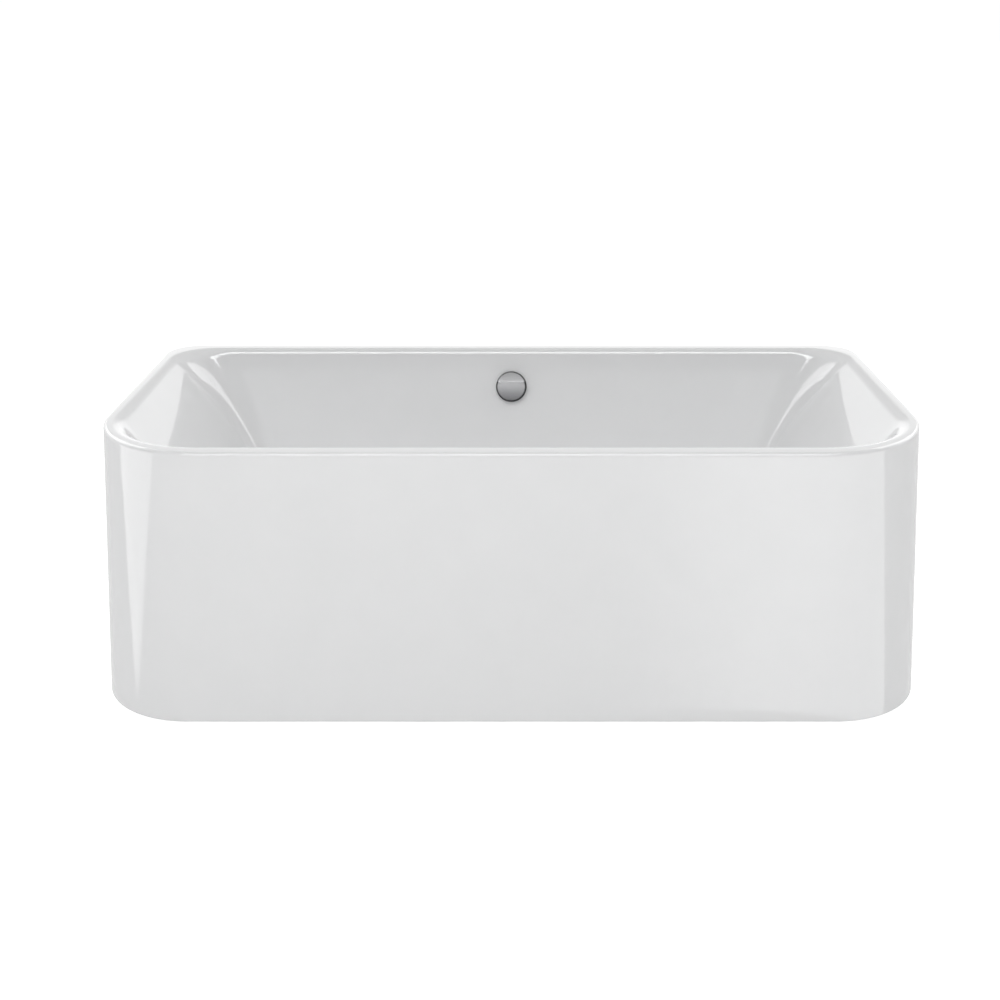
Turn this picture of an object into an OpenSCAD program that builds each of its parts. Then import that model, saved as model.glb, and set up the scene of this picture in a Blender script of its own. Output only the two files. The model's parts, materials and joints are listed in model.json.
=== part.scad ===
// Freestanding bathtub with a flat rim, a sloped basin, a plain outer skirt,
// a steel under-frame on levelling feet, a rotary overflow, a lifting plug and a trap.
// Frame: +X along the bath, -Y towards the front, +Z up. Origin on the floor at the middle.

/* [Overall] */
// Length of the bath over the rim
bath_l = 1800; // [1700:10:1900]
// Width of the bath over the rim
bath_w = 900; // [860:10:950]
// Height of the rim above the floor
bath_h = 600; // [580:5:640]
// Radius of the two front corners in plan, at the rim
front_r = 270; // [240:5:280]
// Radius of the two front corners in plan, at the foot of the skirt
front_low_r = 210; // [200:5:240]
// Radius of the two back corners in plan
back_r = 85; // [75:5:120]

/* [Rim and basin] */
// Thickness of the acrylic basin
shell_t = 6; // [5:0.5:7]
// Depth of the turned-down outer lip of the rim
lip_depth = 15; // [12:1:20]
// Fillet on the rim's outer edge
outer_fillet = 8; // [7:0.5:9]
// Distance from the outer face to where the inner fillet starts
rim_flat = 35; // [30:1:40]
// Fillet from the rim into the basin
inner_fillet = 19; // [16:1:22]
// Radius of the roll from the rim into the sloped end walls
end_fillet = 40; // [35:1:45]
// Radius of the basin's front corners at the rim
basin_front_r = 205; // [180:5:215]
// Radius of the basin's back corners at the rim
basin_back_r = 118; // [110:2:130]
// Radius of the basin's corners where the walls turn into the floor
basin_low_r = 50; // [45:1:65]
// Height of the basin floor at the waste
floor_z = 150; // [148:1:152]
// Fall of the basin floor towards the waste
floor_fall = 6; // [4:1:8]
// Slope of the long basin walls, as run over depth
side_slope = 0.17; // [0.15:0.01:0.18]
// Slope of the end walls just below the rim, as run over depth
end_slope = 0.93; // [0.9:0.01:0.96]
// Change of the end walls' slope with depth, per millimetre
end_curve = -0.00095; // [-0.001:0.00001:-0.0009]
// Height at which the walls start to turn into the floor
turn_z = 230; // [225:1:240]
// Run of the floor fillet at the ends
end_turn = 95; // [90:1:100]
// Run of the floor fillet at the long sides
side_turn = 75; // [70:1:80]

/* [Skirt] */
// Thickness of the skirt panel
skirt_t = 5; // [4:0.5:6]
// Gap between the floor and the skirt
skirt_lift = 3; // [2:0.5:5]

/* [Under-frame] */
// Side of the square steel tube
tube_w = 30; // [28:1:32]
// Wall of the square steel tube
tube_wall = 2; // [1.5:0.5:3]
// Length of the long rails
rail_l = 1120; // [1060:20:1160]
// Distance of each long rail from the middle
rail_y = 190; // [180:2:200]
// Distance of each cross rail from the middle
cross_x = 420; // [400:5:440]
// Length of the cross rails
cross_l = 600; // [580:10:620]
// Distance of each levelling foot from the middle
foot_y = 262; // [250:2:266]

/* [Waste and overflow] */
// Radius of the waste hole in the basin floor
waste_hole_r = 26; // [25:0.5:27]
// Height of the overflow's centre
overflow_z = 505; // [495:5:510]
// Radius of the overflow hole in the back wall
overflow_hole_r = 27; // [26:0.5:28]
// Radius of the overflow knob
knob_r = 40; // [38:0.5:41]
// Outer radius of the waste pipe
pipe_r = 20; // [19:0.5:20.5]

/* [Hidden] */
$fn = 64;

// Small gap left between neighbouring pieces
gap = 0.3;
// Running clearance of a shaft in its bore
running = 0.05;

half_l = bath_l / 2;
half_w = bath_w / 2;
lip_z = bath_h - lip_depth;
basin_inset = rim_flat + inner_fillet;
fillet_end_z = bath_h - inner_fillet;
corner_steps = 10;
straight_steps = 2;
ring_count = 4 * (corner_steps + straight_steps + 1);

// ---- Outlines in plan ----

// Corner centres of the bath's plan, drawn in by inset, with corner radii rf and rb
function corner_list(ie, is, rf, rb) = [
    [half_l - ie - rb, half_w - is - rb, rb, 0],
    [-(half_l - ie - rb), half_w - is - rb, rb, 90],
    [-(half_l - ie - rf), -(half_w - is - rf), rf, 180],
    [half_l - ie - rf, -(half_w - is - rf), rf, 270]
];

function arc_point(c, a) = [c[0] + c[2] * cos(c[3] + a), c[1] + c[2] * sin(c[3] + a)];

// Plan outline as a closed list of points: an arc at each corner, then a straight run
function ring_points(ie, is, rf, rb) = let (cs = corner_list(ie, is, rf, rb)) [
    for (k = [0 : 3])
        let (next = arc_point(cs[(k + 1) % 4], 0), last = arc_point(cs[k], 90))
        for (j = [0 : corner_steps + straight_steps])
            j <= corner_steps
                ? arc_point(cs[k], 90 * j / corner_steps)
                : last + (next - last) * (j - corner_steps) / (straight_steps + 1)
];

// Skirt outline at height z, drawn in by inset: the front corners tighten towards the floor
function skirt_ring(inset, z) = let (rf = front_low_r + (front_r - front_low_r) * z / lip_z) [
    for (p = ring_points(inset, inset, rf - inset, back_r - inset)) [p[0], p[1], z]
];

// Faces between consecutive rings of n points in a list of m rings that closes on itself,
// leaving out the strip after ring number skip
function strip_faces(n, m, skip) = [
    for (k = [0 : m - 1]) if (k != skip)
        for (i = [0 : n - 1])
            let (a = k * n + i, b = k * n + (i + 1) % n)
            let (c = ((k + 1) % m) * n + (i + 1) % n, d = ((k + 1) % m) * n + i)
            each [[a, c, b], [a, d, c]]
];

// ---- Basin section ----
// Each station is [end inset, side inset, height, front radius, back radius,
// and the surface normal as end run, side run and rise].

function end_run(u) = end_slope * u + end_curve * u * u;
function end_rate(u) = end_slope + 2 * end_curve * u;

// Inset of the end wall at depth w below the rim: a roll from the flat rim, then the slope
function end_inset(w) = let (lean = 90 - atan(end_slope))
    w < end_fillet * (1 - cos(lean))
        ? basin_inset - end_slope * inner_fillet - end_fillet * tan(lean / 2)
            + end_fillet * sin(acos(1 - w / end_fillet))
        : basin_inset + end_run(w - inner_fillet);
function end_lean(w) = min(90 - atan(end_slope), acos(max(0, 1 - w / end_fillet)));

function wall_station(z) = let (
    u = fillet_end_z - z,
    high = pow(1 - u / (fillet_end_z - turn_z), 2),
    ae = atan(end_rate(u)),
    as = atan(side_slope)
) [
    basin_inset + end_run(u), basin_inset + side_slope * u, z,
    basin_low_r + (basin_front_r - basin_low_r) * high,
    basin_low_r + (basin_back_r - basin_low_r) * high,
    cos(ae), cos(as), sin((ae + as) / 2)
];

function turn_station(t) = let (
    top = wall_station(turn_z),
    low_z = floor_z + floor_fall,
    drop = turn_z - low_z,
    me = end_rate(fillet_end_z - turn_z) * drop,
    ms = side_slope * drop,
    a = 90 * t
) [
    top[0] + 2 * t * (1 - t) * me + t * t * (me + end_turn),
    top[1] + 2 * t * (1 - t) * ms + t * t * (ms + side_turn),
    low_z + (1 - t) * (1 - t) * drop,
    top[3] + 20 * t, top[4] + 20 * t,
    top[5] * cos(a), top[6] * cos(a), max(top[7], sin(a))
];

// Station on the inner fillet of the rim, a degrees round it at the long sides
function rim_station(a) = let (
    inset = rim_flat + inner_fillet * sin(a),
    w = inner_fillet * (1 - cos(a)),
    lean = end_lean(w),
    blend = inset / basin_inset
) [
    end_inset(w), inset, bath_h - w,
    front_r + (basin_front_r - front_r) * blend, back_r + (basin_back_r - back_r) * blend,
    sin(lean), sin(a), cos((a + lean) / 2)
];

stations = concat(
    [[0, 0, lip_z, front_r, back_r, -1, -1, 0]],
    [for (a = [0 : 30 : 90]) [
        outer_fillet * (1 - cos(a)), outer_fillet * (1 - cos(a)), bath_h - outer_fillet * (1 - sin(a)),
        front_r - outer_fillet * (1 - cos(a)), back_r - outer_fillet * (1 - cos(a)),
        -cos(a), -cos(a), sin(a)
    ]],
    [for (a = [0 : 20 : 80]) rim_station(a)],
    [for (z = [560 : -45 : turn_z + 20]) wall_station(z)],
    [for (t = [0 : 0.2 : 1]) turn_station(t)]
);

function top_ring(s) = [for (p = ring_points(s[0], s[1], s[3], s[4])) [p[0], p[1], s[2]]];

function under_ring(s) = let (grow = shell_t * (s[5] + s[6]) / 2) [
    for (p = ring_points(s[0] - shell_t * s[5], s[1] - shell_t * s[6], s[3] + grow, s[4] + grow))
        [p[0], p[1], s[2] - shell_t * s[7]]
];

// Level ring round the waste, its points on the same bearings as the floor's outline
function waste_ring(r, z) = let (s = stations[len(stations) - 1]) [
    for (p = ring_points(s[0], s[1], s[3], s[4])) [r * p[0] / norm(p), r * p[1] / norm(p), z]
];

// ---- Places of the fittings ----
overflow_tilt = atan(side_slope);
overflow_y = half_w - basin_inset - side_slope * (fillet_end_z - overflow_z);
wall_back = shell_t + 0.5;
waste_flat_r = 48;
board_top = floor_z - shell_t - gap;
board_t = 12;
rail_top = board_top - board_t;
cross_top = rail_top - tube_w;
nut_h = 10;
stud_r = 6;
pad_h = 10;
stem_r = 4;
pipe_wall = 2.5;
bend_r = 24;
drain_out_z = 95;
overflow_pipe_z = 78;
overflow_pipe_r = 13;
overflow_pipe_y = 418;
overflow_bend = 30;
outlet_x = -260;
outlet_end_z = 15;
side_of = [[-1, -1], [1, -1], [1, 1], [-1, 1]];
batten_w = 22;
batten_h = 24;
batten_inset = 14;
batten_z = bath_h - shell_t - 0.8 - batten_h;
front_batten_l = 1240;
back_batten_l = 1400;
side_batten_l = 450;
side_batten_start = -190;
side_batten_drop = 7;
board_l = 980;
board_w = 440;
board_corner = 40;
board_hole_r = 50;
foot_r = 25;
foot_neck_r = 14;
foot_neck_h = 4;
nut_width = 19;
lock_nut_space = 5;
screw_inset = 12;
bracket_w = 28;
bracket_t = 3;
bracket_drop = 50;
bracket_seat = 26;
screw_r = 2.9;
screw_head_r = 6;
screw_head_h = 3.5;
gasket_t = 3;
flange_r = 35;
flange_bore = 22;
flange_t = 3;
flange_neck_r = 24;
hub_r = 7;
hub_h = 10;
spoke_t = 3;
body_r = 30;
body_bore = 24.3;
body_rim_r = 38;
body_rim_t = 4;
body_base_z = 60;
body_base_t = 3;
collar_r = 16;
socket_gap = 0.1;
overflow_ring_r = 34;
overflow_ring_bore = 21;
overflow_body_depth = 42;
overflow_pipe_wall = 2;
control_y = 14;
control_z = -50;
control_hole_r = 4.2;
knob_base = 8;
knob_h = 16.5;
knob_chamfer = 1.5;
knob_wall = 3;
knob_step_y = 13;
plug_r = 31;
plug_dome_r = 161;
plug_gap = 3.4;
plug_neck_r = 16;
plug_drop = 6;
seal_r = 21.6;
seal_h = 4;
union_r = 27;
union_h = 24;
trap_low_z = 53;

// ---- Helpers ----

module ring(r_out, r_in, h) {
    difference() {
        cylinder(r = r_out, h = h);
        translate([0, 0, -1]) cylinder(r = r_in, h = h + 2);
    }
}

module hex_nut(width, r_in, h) {
    difference() {
        cylinder(r = width / sqrt(3), h = h, $fn = 6);
        translate([0, 0, -1]) cylinder(r = r_in, h = h + 2, $fn = 48);
    }
}

// Quarter of a pipe bend in the XZ plane, round the origin, starting on the +X side
module pipe_bend(r_bend, r_out, r_in, start, sweep) {
    rotate([90, 0, 0]) rotate_extrude(angle = sweep, start = start) translate([r_bend, 0]) {
        difference() {
            circle(r = r_out);
            circle(r = r_in);
        }
    }
}

// Frame of the overflow: origin on the back wall's wet face, +Z out into the basin
module at_overflow() {
    translate([0, overflow_y, overflow_z]) rotate([90 - overflow_tilt, 0, 0]) children();
}

module at_foot(k) {
    translate([side_of[k][0] * cross_x, side_of[k][1] * foot_y, 0]) children();
}

module square_tube(length) {
    difference() {
        cube([length, tube_w, tube_w], center = true);
        cube([length + 2, tube_w - 2 * tube_wall, tube_w - 2 * tube_wall], center = true);
    }
}

// ---- Acrylic ----

module basin_solid() {
    rings = concat(
        [for (s = stations) top_ring(s)],
        [waste_ring(waste_flat_r, floor_z), waste_ring(waste_flat_r, floor_z - shell_t)],
        [for (k = [len(stations) - 1 : -1 : 0]) under_ring(stations[k])]
    );
    n = ring_count;
    m = len(rings);
    half = len(stations);
    points = concat([for (r = rings) each r], [[0, 0, floor_z], [0, 0, floor_z - shell_t]]);
    caps = [
        for (i = [0 : n - 1]) each [
            [half * n + i, m * n, half * n + (i + 1) % n],
            [(half + 1) * n + i, (half + 1) * n + (i + 1) % n, m * n + 1]
        ]
    ];
    polyhedron(points = points, faces = concat(strip_faces(n, m, half), caps));
}

module tub_shell() {
    color("white") difference() {
        basin_solid();
        translate([0, 0, floor_z - 20]) cylinder(r = waste_hole_r, h = 40);
        at_overflow() translate([0, 0, -20]) cylinder(r = overflow_hole_r, h = 40);
    }
}

module skirt_panel() {
    top = lip_z - gap;
    rings = [
        skirt_ring(0, skirt_lift), skirt_ring(0, top),
        skirt_ring(skirt_t, top), skirt_ring(skirt_t, skirt_lift)
    ];
    color("white") polyhedron(points = [for (r = rings) each r], faces = strip_faces(ring_count, 4, 4));
}

// ---- Stiffening ----

module base_board() {
    color("burlywood") translate([0, 0, rail_top]) difference() {
        linear_extrude(height = board_t) {
            square([board_l, board_w - 2 * board_corner], center = true);
            square([board_l - 2 * board_corner, board_w], center = true);
            for (sx = [-1, 1], sy = [-1, 1]) {
                translate([sx * (board_l / 2 - board_corner), sy * (board_w / 2 - board_corner)]) {
                    circle(r = board_corner);
                }
            }
        }
        translate([0, 0, -1]) cylinder(r = board_hole_r, h = board_t + 2);
    }
}

module rim_batten_x(length, side) {
    y = side * (half_w - batten_inset - batten_w / 2);
    color("tan") translate([-length / 2, y - batten_w / 2, batten_z]) cube([length, batten_w, batten_h]);
}

module rim_batten_y(side) {
    x = side * (half_l - batten_inset - batten_w / 2);
    color("tan") translate([x - batten_w / 2, side_batten_start, batten_z - side_batten_drop]) {
        cube([batten_w, side_batten_l, batten_h]);
    }
}

// ---- Under-frame ----

module long_rail(side) {
    color("dimgray") translate([0, side * rail_y, rail_top - tube_w / 2 - 0.1]) square_tube(rail_l);
}

module cross_rail(side) {
    color("dimgray") difference() {
        translate([side * cross_x, 0, cross_top - tube_w / 2 - 0.2]) rotate([0, 0, 90]) square_tube(cross_l);
        for (sy = [-1, 1]) {
            translate([side * cross_x, sy * foot_y, cross_top - 2 * tube_w]) {
                cylinder(r = stud_r + 0.5, h = 3 * tube_w);
            }
            translate([side * cross_x, sy * (cross_l / 2 - screw_inset), cross_top - 8]) {
                cylinder(r = screw_r + 0.1, h = 20);
            }
        }
    }
}

module rail_nut(k) {
    color("silver") at_foot(k) translate([0, 0, cross_top - tube_w - 0.2 - nut_h]) {
        hex_nut(nut_width, stud_r + running, nut_h);
    }
}

module foot_stud(k) {
    color("silver") at_foot(k) translate([0, 0, pad_h]) cylinder(r = stud_r, h = cross_top - pad_h + 2, $fn = 48);
}

module lock_nut(k) {
    color("silver") at_foot(k) translate([0, 0, cross_top - tube_w - 2 * nut_h - lock_nut_space]) {
        hex_nut(nut_width, stud_r, nut_h - 2);
    }
}

module foot_pad(k) {
    color("dimgray") at_foot(k) {
        cylinder(r = foot_r, h = pad_h - foot_neck_h);
        translate([0, 0, pad_h - foot_neck_h]) cylinder(r = foot_neck_r, h = foot_neck_h);
    }
}

module skirt_bracket(k) {
    reach = half_w - skirt_t - gap;
    start = cross_l / 2 - bracket_seat;
    color("silver") translate([side_of[k][0] * cross_x, 0, 0]) mirror([0, side_of[k][1] < 0 ? 1 : 0, 0]) {
        difference() {
            union() {
                translate([-bracket_w / 2, start, cross_top]) cube([bracket_w, reach - start, bracket_t]);
                translate([-bracket_w / 2, reach - bracket_t, cross_top - bracket_drop]) {
                    cube([bracket_w, bracket_t, bracket_drop + bracket_t]);
                }
            }
            translate([0, cross_l / 2 - screw_inset, cross_top - 5]) cylinder(r = screw_r + 0.4, h = 12);
        }
    }
}

module bracket_screw(k) {
    y = side_of[k][1] * (cross_l / 2 - screw_inset);
    color("silver") translate([side_of[k][0] * cross_x, y, cross_top]) {
        translate([0, 0, bracket_t]) cylinder(r = screw_head_r, h = screw_head_h);
        translate([0, 0, -7]) cylinder(r = screw_r, h = 11);
    }
}

// ---- Waste and plug ----

module drain_flange() {
    color("silver") translate([0, 0, floor_z]) {
        ring(flange_r, flange_bore, flange_t);
        translate([0, 0, -26]) ring(flange_neck_r, flange_bore, 26.5);
        translate([0, 0, -20]) ring(hub_r, stem_r + running, hub_h);
        for (a = [30, 150, 270]) {
            rotate([0, 0, a]) translate([hub_r - 1, -spoke_t / 2, -20]) {
                cube([flange_bore - hub_r + 2, spoke_t, hub_h]);
            }
        }
    }
}

module drain_gasket() {
    color("black") translate([0, 0, floor_z - shell_t - gasket_t]) {
        ring(flange_r - 1, waste_hole_r, gasket_t);
    }
}

module drain_body() {
    top = floor_z - shell_t - gasket_t;
    color("whitesmoke") difference() {
        union() {
            translate([0, 0, body_base_z]) cylinder(r = body_r, h = top - body_base_z);
            translate([0, 0, top - body_rim_t]) cylinder(r = body_rim_r, h = body_rim_t);
            translate([0, 0, drain_out_z]) rotate([0, -90, 0]) cylinder(r = pipe_r, h = 46);
            translate([0, 0, overflow_pipe_z]) rotate([-90, 0, 0]) cylinder(r = collar_r, h = 52);
        }
        translate([0, 0, body_base_z + body_base_t]) cylinder(r = body_bore, h = top);
        translate([0, 0, drain_out_z]) rotate([0, -90, 0]) cylinder(r = pipe_r - pipe_wall, h = 50);
        translate([0, 0, overflow_pipe_z]) rotate([-90, 0, 0]) {
            cylinder(r = overflow_pipe_r + socket_gap, h = 60);
        }
        translate([0, 0, body_base_z - 1]) cylinder(r = 6.2, h = 10);
    }
}

module drain_gland() {
    color("black") translate([0, 0, 48]) {
        ring(9, 2, 12);
        translate([0, 0, 12]) ring(6, 2, 9);
    }
}

module plug_cap() {
    color("silver") translate([0, 0, floor_z]) {
        translate([0, 0, plug_gap]) intersection() {
            cylinder(r = plug_r, h = 6);
            translate([0, 0, 5 - plug_dome_r]) sphere(r = plug_dome_r, $fn = 160);
        }
        translate([0, 0, -plug_drop]) cylinder(r = plug_neck_r, h = plug_drop + 3.5);
    }
}

module plug_seal() {
    color("black") translate([0, 0, floor_z - 3]) ring(seal_r, plug_neck_r, seal_h);
}

module plug_stem() {
    color("silver") translate([0, 0, floor_z - plug_drop]) {
        translate([0, 0, -38]) cylinder(r = stem_r, h = 38);
        translate([0, 0, -42]) cylinder(r = 2.5, h = 4.5);
    }
}

// ---- Overflow and its knob ----

module overflow_ring() {
    color("silver") at_overflow() {
        ring(overflow_ring_r, overflow_ring_bore, flange_t);
        translate([0, 0, -18]) ring(flange_neck_r, overflow_ring_bore, 18.5);
        translate([0, 0, -12]) ring(hub_r, stem_r + running, 12);
        for (a = [90, 210, 330]) {
            rotate([0, 0, a]) translate([hub_r - 1, -spoke_t / 2, -12]) {
                cube([overflow_ring_bore - hub_r + 2, spoke_t, hub_h]);
            }
        }
    }
}

module overflow_gasket() {
    color("black") at_overflow() translate([0, 0, -wall_back - gasket_t]) {
        ring(36, overflow_hole_r, gasket_t);
    }
}

module overflow_body() {
    back = -wall_back - gasket_t;
    depth = overflow_body_depth;
    color("whitesmoke") difference() {
        union() {
            at_overflow() translate([0, 0, back - body_rim_t]) cylinder(r = body_rim_r, h = body_rim_t);
            at_overflow() translate([0, 0, -depth]) cylinder(r = body_r, h = depth + back);
            translate([0, overflow_pipe_y, overflow_z - 56]) cylinder(r = collar_r, h = 50);
        }
        at_overflow() translate([0, 0, body_base_t - depth]) cylinder(r = body_bore, h = 60);
        translate([0, overflow_pipe_y, overflow_z - 60]) cylinder(r = overflow_pipe_r + socket_gap, h = 60);
        at_overflow() translate([0, control_y, control_z]) cylinder(r = control_hole_r, h = 20);
    }
}

module overflow_gland() {
    color("black") at_overflow() translate([0, control_y, control_z]) {
        ring(7, 1.5, 8);
        translate([0, 0, 8]) ring(4, 1.5, 5);
    }
}

module knob() {
    straight = knob_h - knob_chamfer;
    color("silver") at_overflow() translate([0, 0, knob_base]) difference() {
        union() {
            cylinder(r = knob_r, h = straight);
            translate([0, 0, straight]) cylinder(r1 = knob_r, r2 = knob_r - knob_chamfer, h = knob_chamfer);
        }
        translate([0, 0, -1]) ring(knob_r - knob_wall, 9, 12);
        translate([0, 0, -1]) cylinder(r = stem_r, h = 9);
        translate([-knob_r - 1, knob_step_y, straight - 1]) cube([2 * knob_r + 2, knob_r, 5]);
    }
}

module knob_spindle() {
    color("silver") at_overflow() translate([0, 0, -34]) cylinder(r = stem_r, h = 50);
}

module cable_wheel() {
    color("whitesmoke") at_overflow() translate([0, 0, -32]) {
        ring(18, stem_r, 3);
        translate([0, 0, 3]) ring(15, stem_r, 3);
        translate([0, 0, 6]) ring(18, stem_r, 3);
    }
}

// ---- Pipes ----

module overflow_pipe() {
    top_y = overflow_pipe_y;
    top_z = overflow_z - 52;
    r_in = overflow_pipe_r - overflow_pipe_wall;
    bend_z = overflow_pipe_z + overflow_bend;
    color("whitesmoke") {
        translate([0, top_y, bend_z]) ring(overflow_pipe_r, r_in, top_z - bend_z);
        translate([0, top_y - overflow_bend, bend_z]) rotate([0, 0, 90]) {
            pipe_bend(overflow_bend, overflow_pipe_r, r_in, -90, 90);
        }
        translate([0, top_y - overflow_bend, overflow_pipe_z]) rotate([90, 0, 0]) {
            ring(overflow_pipe_r, r_in, top_y - overflow_bend - 40);
        }
    }
}

module overflow_pipe_nut() {
    color("whitesmoke") translate([0, 74, overflow_pipe_z]) rotate([90, 0, 0]) {
        difference() {
            cylinder(r = collar_r + 5, h = 26);
            translate([0, 0, 4]) cylinder(r = collar_r + 0.2, h = 30);
            translate([0, 0, -1]) cylinder(r = overflow_pipe_r + socket_gap, h = 10);
        }
    }
}

module union_nut() {
    difference() {
        cylinder(r = union_r, h = union_h);
        translate([0, 0, -1]) cylinder(r = pipe_r + socket_gap, h = union_h + 2);
        translate([0, 0, 0.75 * union_h]) cylinder(r = pipe_r + 2, h = union_h);
    }
}

module trap_nut() {
    color("whitesmoke") translate([-58, 0, drain_out_z]) rotate([0, 90, 0]) union_nut();
}

module outlet_nut() {
    color("whitesmoke") translate([outlet_x + 66, 0, drain_out_z]) rotate([0, 90, 0]) union_nut();
}

// S-shaped water trap: down, round the bottom, up and out level
module trap_bend() {
    start_x = -46.3;
    down_x = start_x - 16 - bend_r;
    up_x = down_x - 2 * bend_r;
    low_z = trap_low_z;
    r_in = pipe_r - pipe_wall;
    color("whitesmoke") {
        translate([start_x, 0, drain_out_z]) rotate([0, -90, 0]) ring(pipe_r, r_in, 16);
        translate([start_x - 16, 0, drain_out_z - bend_r]) pipe_bend(bend_r, pipe_r, r_in, 90, 90);
        translate([down_x, 0, low_z]) ring(pipe_r, r_in, drain_out_z - bend_r - low_z);
        translate([down_x - bend_r, 0, low_z]) pipe_bend(bend_r, pipe_r, r_in, 180, 180);
        translate([up_x, 0, low_z]) ring(pipe_r, r_in, drain_out_z - bend_r - low_z);
        translate([up_x - bend_r, 0, drain_out_z - bend_r]) pipe_bend(bend_r, pipe_r, r_in, 0, 90);
        translate([up_x - bend_r, 0, drain_out_z]) rotate([0, -90, 0]) ring(pipe_r, r_in, 20);
    }
}

// Elbow that turns the waste down to the floor
module outlet_bend() {
    r_in = pipe_r - pipe_wall;
    start_x = outlet_x + bend_r + 40;
    color("whitesmoke") {
        translate([start_x, 0, drain_out_z]) rotate([0, -90, 0]) ring(pipe_r, r_in, 40);
        translate([outlet_x + bend_r, 0, drain_out_z - bend_r]) pipe_bend(bend_r, pipe_r, r_in, 90, 90);
        translate([outlet_x, 0, outlet_end_z]) ring(pipe_r, r_in, drain_out_z - bend_r - outlet_end_z);
    }
}

tub_shell();
skirt_panel();
base_board();
rim_batten_x(front_batten_l, -1);  // rim_batten_front
rim_batten_x(back_batten_l, 1);  // rim_batten_back
rim_batten_y(-1);  // rim_batten_left
rim_batten_y(1);  // rim_batten_right
long_rail(-1);  // long_rail_front
long_rail(1);  // long_rail_back
cross_rail(-1);  // cross_rail_left
cross_rail(1);  // cross_rail_right
for (k = [0 : 3]) {
    foot_stud(k);
    foot_pad(k);
    lock_nut(k);
    rail_nut(k);
    skirt_bracket(k);
    bracket_screw(k);
}
drain_flange();
drain_gasket();
drain_body();
drain_gland();
plug_cap();
plug_seal();
plug_stem();
overflow_ring();
overflow_gasket();
overflow_body();
overflow_gland();
knob();
knob_spindle();
cable_wheel();
overflow_pipe();
overflow_pipe_nut();
trap_nut();
trap_bend();
outlet_nut();
outlet_bend();
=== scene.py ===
"""Freestanding bathtub: acrylic basin and skirt, chrome fittings, and the hidden frame and pipework."""

import json
import math

import bmesh
import bpy
import numpy as np
from mathutils import Matrix, Vector


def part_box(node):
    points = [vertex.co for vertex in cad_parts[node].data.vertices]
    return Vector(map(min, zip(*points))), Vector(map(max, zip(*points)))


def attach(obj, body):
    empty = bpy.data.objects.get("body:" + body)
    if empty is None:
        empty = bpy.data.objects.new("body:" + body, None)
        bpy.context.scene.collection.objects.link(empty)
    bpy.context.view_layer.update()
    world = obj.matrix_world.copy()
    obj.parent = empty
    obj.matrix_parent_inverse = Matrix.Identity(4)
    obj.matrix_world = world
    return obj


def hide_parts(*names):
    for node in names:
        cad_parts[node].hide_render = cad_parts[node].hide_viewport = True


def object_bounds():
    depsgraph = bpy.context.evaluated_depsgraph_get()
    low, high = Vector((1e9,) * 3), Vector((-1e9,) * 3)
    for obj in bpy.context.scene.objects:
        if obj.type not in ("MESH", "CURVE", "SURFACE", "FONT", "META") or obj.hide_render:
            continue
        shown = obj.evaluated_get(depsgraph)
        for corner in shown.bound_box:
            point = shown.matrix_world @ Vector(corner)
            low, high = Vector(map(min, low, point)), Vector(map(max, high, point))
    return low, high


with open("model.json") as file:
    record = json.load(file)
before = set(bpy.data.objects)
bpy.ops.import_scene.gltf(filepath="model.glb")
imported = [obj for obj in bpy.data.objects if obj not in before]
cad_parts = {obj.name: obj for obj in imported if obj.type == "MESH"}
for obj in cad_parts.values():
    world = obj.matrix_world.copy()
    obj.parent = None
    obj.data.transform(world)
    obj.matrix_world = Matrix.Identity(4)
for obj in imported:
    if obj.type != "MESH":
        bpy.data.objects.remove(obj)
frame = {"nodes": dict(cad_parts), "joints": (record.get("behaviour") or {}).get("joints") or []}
cad_box = [list(corner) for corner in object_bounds()]

# ---------------------------------------------------------------- sizes, in metres

LOW, HIGH = (Vector(corner) for corner in cad_box)
HALF_L = (HIGH.x - LOW.x) / 2
HALF_W = (HIGH.y - LOW.y) / 2
RIM_Z = HIGH.z

FRONT_R = 0.270  # front corners at the rim
FRONT_LOW_R = 0.210  # front corners at the foot of the skirt
BACK_R = 0.085
BASIN_FRONT_R = 0.205
BASIN_BACK_R = 0.118
BASIN_LOW_R = 0.050
SHELL_T = 0.006
SKIRT_T = 0.005
OUTER_FILLET = 0.008
RIM_FLAT = 0.035
INNER_FILLET = 0.019
END_FILLET = 0.040
BASIN_INSET = RIM_FLAT + INNER_FILLET
FILLET_END_Z = RIM_Z - INNER_FILLET
SIDE_SLOPE = 0.17
END_SLOPE = 0.93
END_CURVE = -0.95  # half the change of the end wall's slope, per metre of depth
TURN_Z = 0.230
END_TURN = 0.095
SIDE_TURN = 0.075
TURN_R_GAIN = 0.020  # how much wider the corners are at the end of the turn into the floor
FLOOR_FALL = 0.006

LIP_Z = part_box("skirt_panel")[1][2] + 0.0003
SKIRT_FOOT_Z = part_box("skirt_panel")[0][2]
FLOOR_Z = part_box("drain_gasket")[1][2] + SHELL_T
KNOB_R = 0.040
KNOB_PAINTED_DARK_AT = (-0.0008, 0, 0.0004)  # centre of the knob's painted dark edge, a painted reflection, from the overflow's
KNOB_PAINTED_DARK_FROM = 0.0415  # distances from that centre where the painted dark edge starts and is full
KNOB_PAINTED_DARK_TO = 0.0450
WASTE_HOLE_R = 0.026
WASTE_FLAT_R = 0.048
OVERFLOW_HOLE_R = 0.027

CORNER_STEPS = 28
LONG_STEPS = 14
SHORT_STEPS = 7

# ---------------------------------------------------------------- overflow's frame

knob_joint = next(j for j in frame["joints"] if j["name"] == "knob_turn")
OVERFLOW_AT = Vector(knob_joint["pos_m"])
OVERFLOW_OUT = Vector(knob_joint["axis"]).normalized()
OVERFLOW_UP = OVERFLOW_OUT.cross(Vector((1, 0, 0))).normalized()


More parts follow.
